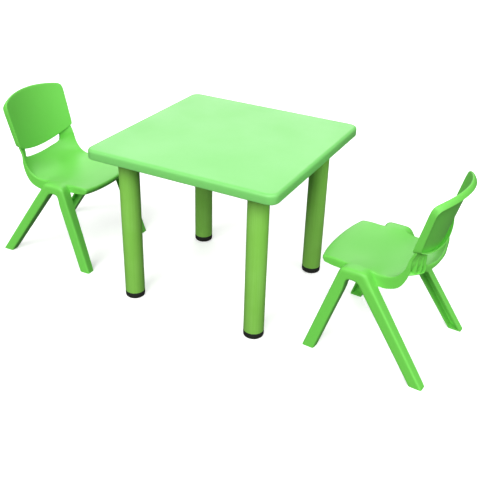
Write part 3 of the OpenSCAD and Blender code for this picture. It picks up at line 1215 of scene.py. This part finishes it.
    def rear_shelf(self) -> bpy.types.Object:
        """Model the short shelf that closes the ribs' lower ends."""
        row = len(self.lines) - 2
        cols = range(self.slot_col, len(self.across))

        def place(step: int, back: int) -> Vector:
            """Return a point of the shelf, across the upright and back."""
            spot = self.point(row, cols[step]) + Vector((-2.0, 0, 0))
            rear = Vector((self.rear_x(row, cols[step]) + 0.5, spot.y, self.shelf_z + 1.5))
            return spot.lerp(rear, back / 2)

        return sheet_patch("rear_shelf", len(cols), 3, place)


@dataclass
class LegFrame:
    """One side's pair of legs: an open channel bent to an upside-down V, with a saddle beside the seat."""

    seat: Seat
    face_low: float = 175.4
    face_lean: float = 0.0355
    open_low: float = 149.0
    open_lean: float = 0.0634
    soft: float = 10.0
    saddle_soft: float = 19.0
    saddle_rows: range = range(6, 12)
    plate: float = 4.0
    foot_spans: tuple[Point, ...] = ((-179.8, -144.6), (146.5, 179.5))
    # Step of the V and line of the seat that share a point
    shared: tuple[tuple[int, int], ...] = ((7, 8), (8, 7), (9, 6), (10, 5))
    # Steps of the V that the rims of the seat's line 5 and line 8 run down
    rim_rows: tuple[tuple[int, int, int], ...] = ((5, 11, 12), (8, 6, 5))
    # Inner and outer line of the V, from below the rear foot over the saddle to below the front foot
    inner: tuple[Point, ...] = (
        (-152.5, -12), (-122.4, 30), (-79.5, 90), (-36.5, 150), (-4.3, 195), (21.5, 231), (34.5, 249),
        (44.0, 256.5), (55.5, 258), (66.5, 256.5), (73.0, 249), (77.0, 230), (80.6, 214), (88.0, 189),
        (106.1, 130), (124.2, 70), (136.3, 30), (149.0, -12))
    outer: tuple[Point, ...] = (
        (-190.9, -12), (-161.2, 30), (-118.7, 90), (-76.2, 150), (-44.3, 195), (-9.6, 244), (7.0, 268),
        (20.0, 288), (44.0, 290), (68.0, 290), (90.0, 287), (97.5, 273), (102.4, 257), (121.0, 197),
        (142.1, 130), (160.7, 70), (173.1, 30), (186.1, -12))

    def __post_init__(self) -> None:
        """Lay out the V's control points."""
        bend = (5, 12)
        self.near = sharpened([Vector(p) for p in self.inner], *bend)
        self.far = sharpened([Vector(p) for p in self.outer], *bend, rounds=1)

    def point(self, row: int, col: int) -> Vector:
        """Return a control point of the frame.

        Args:
            row: Step along the V.
            col: Step across the channel, from the inner wall's edge to the outer wall's edge.

        Returns:
            The point, in millimetres.
        """
        if col == 8:
            for step, line in self.shared:
                if row == step:
                    return self.seat.point(line, len(self.seat.across) - 1)
        near, far = self.near[row], self.far[row]
        across = far - near
        high = row in self.saddle_rows
        far_soft = self.saddle_soft if high else self.soft
        shares = (0, 0, 0, self.soft / across.length, 0.5, 1 - far_soft / across.length, 1, 1, 1)
        x, z = near + across * shares[col]
        face = self.face_low - self.face_lean * z
        if col in (0, 8):
            y = self.open_low - self.open_lean * z
        elif col in (1, 7):
            y = face - (self.soft if col == 1 else far_soft * (0.9 if high else 1))
        else:
            y = face
        return Vector((x, y, z))

    def junction(self) -> dict[int, tuple[Vector, Vector]]:
        """Return the middle and lower points that the seat's rim shares with the frame, by the seat's line."""
        return {line: (self.point(middle, 8), self.point(low, 8)) for line, middle, low in self.rim_rows}

    def foot_plates(self) -> list[bpy.types.Object]:
        """Model the plates that close the four feet."""
        low, high = self.open_low + 0.5, self.face_low - 2.2
        plates = []
        for start, end in self.foot_spans:
            for y in ((low, high), (-high, -low)):
                corners = zip((start, end), y, (0, self.plate))
                plates.append(block("foot_plate", *([v * MM for v in corner] for corner in corners)))
        return plates

    def build(self) -> bpy.types.Object:
        """Model the frame's outer skin on the +Y side, without its thickness."""
        return sheet_patch("leg_frame", len(self.inner), 9, self.point)


@dataclass
class Chair:
    """One-piece moulded chair, modelled around the origin, facing +X."""

    wall: float = 3.8
    rib_t: float = 2.8
    edge: float = 0.9
    edge_angle: float = 55.0        # corners sharper than this get the small round
    smooth_angle: float = 40.0
    levels: int = 2
    crease: float = 0.75
    crease_reach: float = 1.5       # how near a vertex lies to a corner that stays sharp
    crease_rise: float = 8.0        # least height of a sharp corner's edge
    mirror_reach: float = 0.2
    skin_weld: float = 1.2
    rib_weld: float = 0.01
    sliver: float = 0.05
    sliver_edge: float = 0.02

    def __post_init__(self) -> None:
        """Make the chair's parts."""
        self.seat, self.back = Seat(), Backrest()
        self.frame = LegFrame(self.seat)

    def crease_corners(self, shell: bpy.types.Object) -> None:
        """Keep the inner corners sharp where the seat's rim meets the leg frame."""
        last = len(self.seat.across) - 1
        spots = []
        for line, points in self.frame.junction().items():
            spots += [self.seat.point(line, last), *points]
        wanted = [v.index for v in shell.data.vertices
                  if any((v.co / MM - spot).length < self.crease_reach for spot in spots)]
        crease = shell.data.attributes.new("crease_edge", "FLOAT", "EDGE")
        for edge in shell.data.edges:
            a, b = (shell.data.vertices[v].co for v in edge.vertices)
            if all(v in wanted for v in edge.vertices) and abs(a.z - b.z) > self.crease_rise * MM:
                crease.data[edge.index].value = self.crease

    def whole(self, name: str, halves: Sequence[bpy.types.Object], thick: float, offset: float,
              weld: float) -> bpy.types.Object:
        """Join half skins, mirror them, smooth them and give them a wall.

        Args:
            name: Name of the shell.
            halves: Skins on the +Y side.
            thick: Wall thickness.
            offset: Side that the wall grows to: -1 is inwards.
            weld: Distance under which the skins' vertices merge.

        Returns:
            The shell.
        """
        shell = clean(join(name, halves), weld)
        if offset < 0:
            self.crease_corners(shell)
        modify(shell, "MIRROR", use_axis=(False, True, False), use_mirror_merge=True,
               merge_threshold=self.mirror_reach * MM)
        clean(shell)
        modify(shell, "SUBSURF", levels=self.levels, render_levels=self.levels)
        modify(shell, "SOLIDIFY", thickness=thick * MM, offset=offset, use_even_offset=True,
               use_quality_normals=True)
        return shell

    def cut_at_floor(self, shell: bpy.types.Object) -> None:
        """Cut the legs off at the floor and close the cut."""
        with whole_mesh(shell):
            bpy.ops.mesh.bisect(plane_co=(0, 0, 0), plane_no=(0, 0, 1), clear_inner=True, use_fill=True)

    def drop_slivers(self, shell: bpy.types.Object) -> None:
        """Remove the slivers and loose bits that the unions leave."""
        with whole_mesh(shell):
            bpy.ops.mesh.remove_doubles(threshold=self.sliver * MM)
            bpy.ops.mesh.dissolve_degenerate(threshold=self.sliver_edge * MM)
            bpy.ops.mesh.delete_loose(use_verts=True, use_edges=True, use_faces=False)
        shell.data.validate()

    def build(self) -> bpy.types.Object:
        """Model the whole chair.

        Returns:
            The chair, around the origin.
        """
        seat, junction = self.seat, self.frame.junction()
        last = len(seat.lines) + len(seat.upright)
        body = self.whole("chair_body", [
            seat.skin(), seat.upright_skin(), seat.side_rim(range(2, 6), junction),
            seat.side_rim(range(8, last), junction), seat.handhold_rim(), self.frame.build()],
            self.wall, -1, self.skin_weld)
        back = self.whole("chair_back", [self.back.build()], self.wall, -1, self.skin_weld)
        ribs = [self.whole("chair_rib", [part], self.rib_t, 0, self.rib_weld)
                for part in (*map(seat.rear_rib, seat.rib_cols), seat.rear_shelf())]
        for shell in (body, back, *ribs):
            modify(shell, "BEVEL", width=self.edge * MM, segments=2, limit_method="ANGLE",
                   angle_limit=math.radians(self.edge_angle), use_clamp_overlap=True)
        self.cut_at_floor(body)
        for part in (back, *ribs, *self.frame.foot_plates()):
            modify(body, "BOOLEAN", object=part, operation="UNION", solver="MANIFOLD")
            discard([part])
        self.drop_slivers(body)
        body.name = body.data.name = "chair"
        smooth_mesh(body, self.smooth_angle)
        return body


# ---------------------------------------------------------------- studio


def heading(joint: dict) -> float:
    """Return which way a chair faces, from the joint that pulls it straight back."""
    axis = joint["axis"]
    return math.atan2(-axis[1], -axis[0])


def place_chairs(frame: dict) -> None:
    """Build the chair once and stand a copy at each place of the frame.
    """
    chair = Chair().build()
    for joint in frame["joints"]:
        body = joint["child"]
        low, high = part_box(body)
        middle = (low + high) / 2
        matrix = Matrix.Translation((middle.x, middle.y, 0)) @ Matrix.Rotation(heading(joint), 4, "Z")
        piece = copy_at(chair, f"{body}_moulded", matrix)
        hand_over(piece, Finish.CHAIR, body, "chair_plastic", body)
    discard([chair])


@dataclass
class Studio:
    """Pale floor, soft lights and the camera."""

    camera_place: tuple[float, float, float] = (1004.5, -1791.4, 1302.5)
    yaw: float = 117.64
    pitch: float = 29.24
    roll: float = -1.55
    lens: float = 55.04
    tent_low: float = 0.10          # strength of the tent below the horizon and overhead
    tent_high: float = 0.38
    tent_rise: tuple[float, float] = (-0.05, 0.50)
    floor_side: float = 40.0
    floor_glow: float = 0.35        # lightens the shadows
    # Name, direction towards it, width in degrees and strength of each light
    suns: tuple[tuple[str, tuple[float, float, float], float, float], ...] = (
        ("key", (0.02, -0.80, 0.62), 40, 2.5),
        ("side", (0.75, -0.25, 0.70), 60, 1.5),
        ("back", (-0.42, 0.76, 0.49), 45, 0.85))

    def camera(self) -> None:
        """Stand the camera and make it the scene's own."""
        data = bpy.data.cameras.new("camera")
        data.lens = self.lens
        data.sensor_width = 36.0
        data.clip_end = 60.0
        camera = bpy.data.objects.new("camera", data)
        bpy.context.scene.collection.objects.link(camera)
        yaw, pitch, roll = (math.radians(a) for a in (self.yaw, self.pitch, self.roll))
        ahead = Vector((math.cos(yaw) * math.cos(pitch), math.sin(yaw) * math.cos(pitch), -math.sin(pitch)))
        level = Vector((math.sin(yaw), -math.cos(yaw), 0))
        down = ahead.cross(level)
        right = math.cos(roll) * level + math.sin(roll) * down
        lower = -math.sin(roll) * level + math.cos(roll) * down
        turn = Matrix((right, -lower, -ahead)).transposed()
        camera.matrix_world = Matrix.Translation(Vector(self.camera_place) * MM) @ turn.to_4x4()
        bpy.context.scene.camera = camera

    def sun(self, name: str, place: Sequence[float], soft: float, strength: float) -> None:
        """Add a broad, soft light from far away.

        Args:
            name: Name of the light.
            place: Direction that the light comes from.
            soft: How wide the light is, in degrees.
            strength: Its strength, in watts per square metre.
        """
        data = bpy.data.lights.new(name, "SUN")
        data.angle, data.energy = math.radians(soft), strength
        lamp = bpy.data.objects.new(name, data)
        bpy.context.scene.collection.objects.link(lamp)
        lamp.rotation_euler = (-Vector(place)).to_track_quat("-Z", "Y").to_euler()

    def sky(self) -> None:
        """Surround the set with a tent that gives less light from low down, and looks white to the camera."""
        world = bpy.data.worlds.new("studio")
        bpy.context.scene.world = world
        world.use_nodes = True
        tree = world.node_tree
        coords = add_node(tree, "ShaderNodeTexCoord")
        height = add_node(tree, "ShaderNodeSeparateXYZ", inputs={"Vector": coords.outputs["Generated"]})
        light = add_node(tree, "ShaderNodeMapRange", inputs={
            "Value": height.outputs["Z"], "From Min": self.tent_rise[0], "From Max": self.tent_rise[1],
            "To Min": self.tent_low, "To Max": self.tent_high})
        path = add_node(tree, "ShaderNodeLightPath")
        seen = add_node(tree, "ShaderNodeMath", {"operation": "MAXIMUM"}, {
            0: light.outputs["Result"], 1: path.outputs["Is Camera Ray"]})
        tree.links.new(seen.outputs["Value"], tree.nodes["Background"].inputs["Strength"])
        tree.nodes["Background"].inputs["Color"].default_value = linear("#ffffff")

    def floor(self) -> None:
        """Lay the floor."""
        deselect()
        bpy.ops.mesh.primitive_plane_add(size=self.floor_side, location=(0, 0, 0))
        floor = bpy.context.object
        floor.name = "studio_floor"
        material, _, shader, _ = new_material("studio_floor_pale")
        shader.inputs["Base Color"].default_value = linear(Floor.PALE.value)
        shader.inputs["Roughness"].default_value = 0.85
        shader.inputs["Specular IOR Level"].default_value = 0.1
        shader.inputs["Emission Color"].default_value = linear("#ffffff")
        shader.inputs["Emission Strength"].default_value = self.floor_glow
        floor.data.materials.append(material)
        floor.visible_diffuse = False       # its glow would flood the undersides
        floor.visible_glossy = False

    def build(self) -> None:
        """Set up the whole studio."""
        scene = bpy.context.scene
        scene.view_settings.view_transform = "Standard"
        self.sky()
        self.floor()
        for light in self.suns:
            self.sun(*light)


def main() -> None:
    """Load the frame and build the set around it."""
    logging.basicConfig(level=logging.INFO, format="%(name)s: %(message)s", stream=sys.stdout)
    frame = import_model()
    deselect()
    studio = Studio()
    studio.camera()
    Table().build(frame["nodes"])
    place_chairs(frame)
    studio.build()
    deselect()


if __name__ == "__main__":
    main()
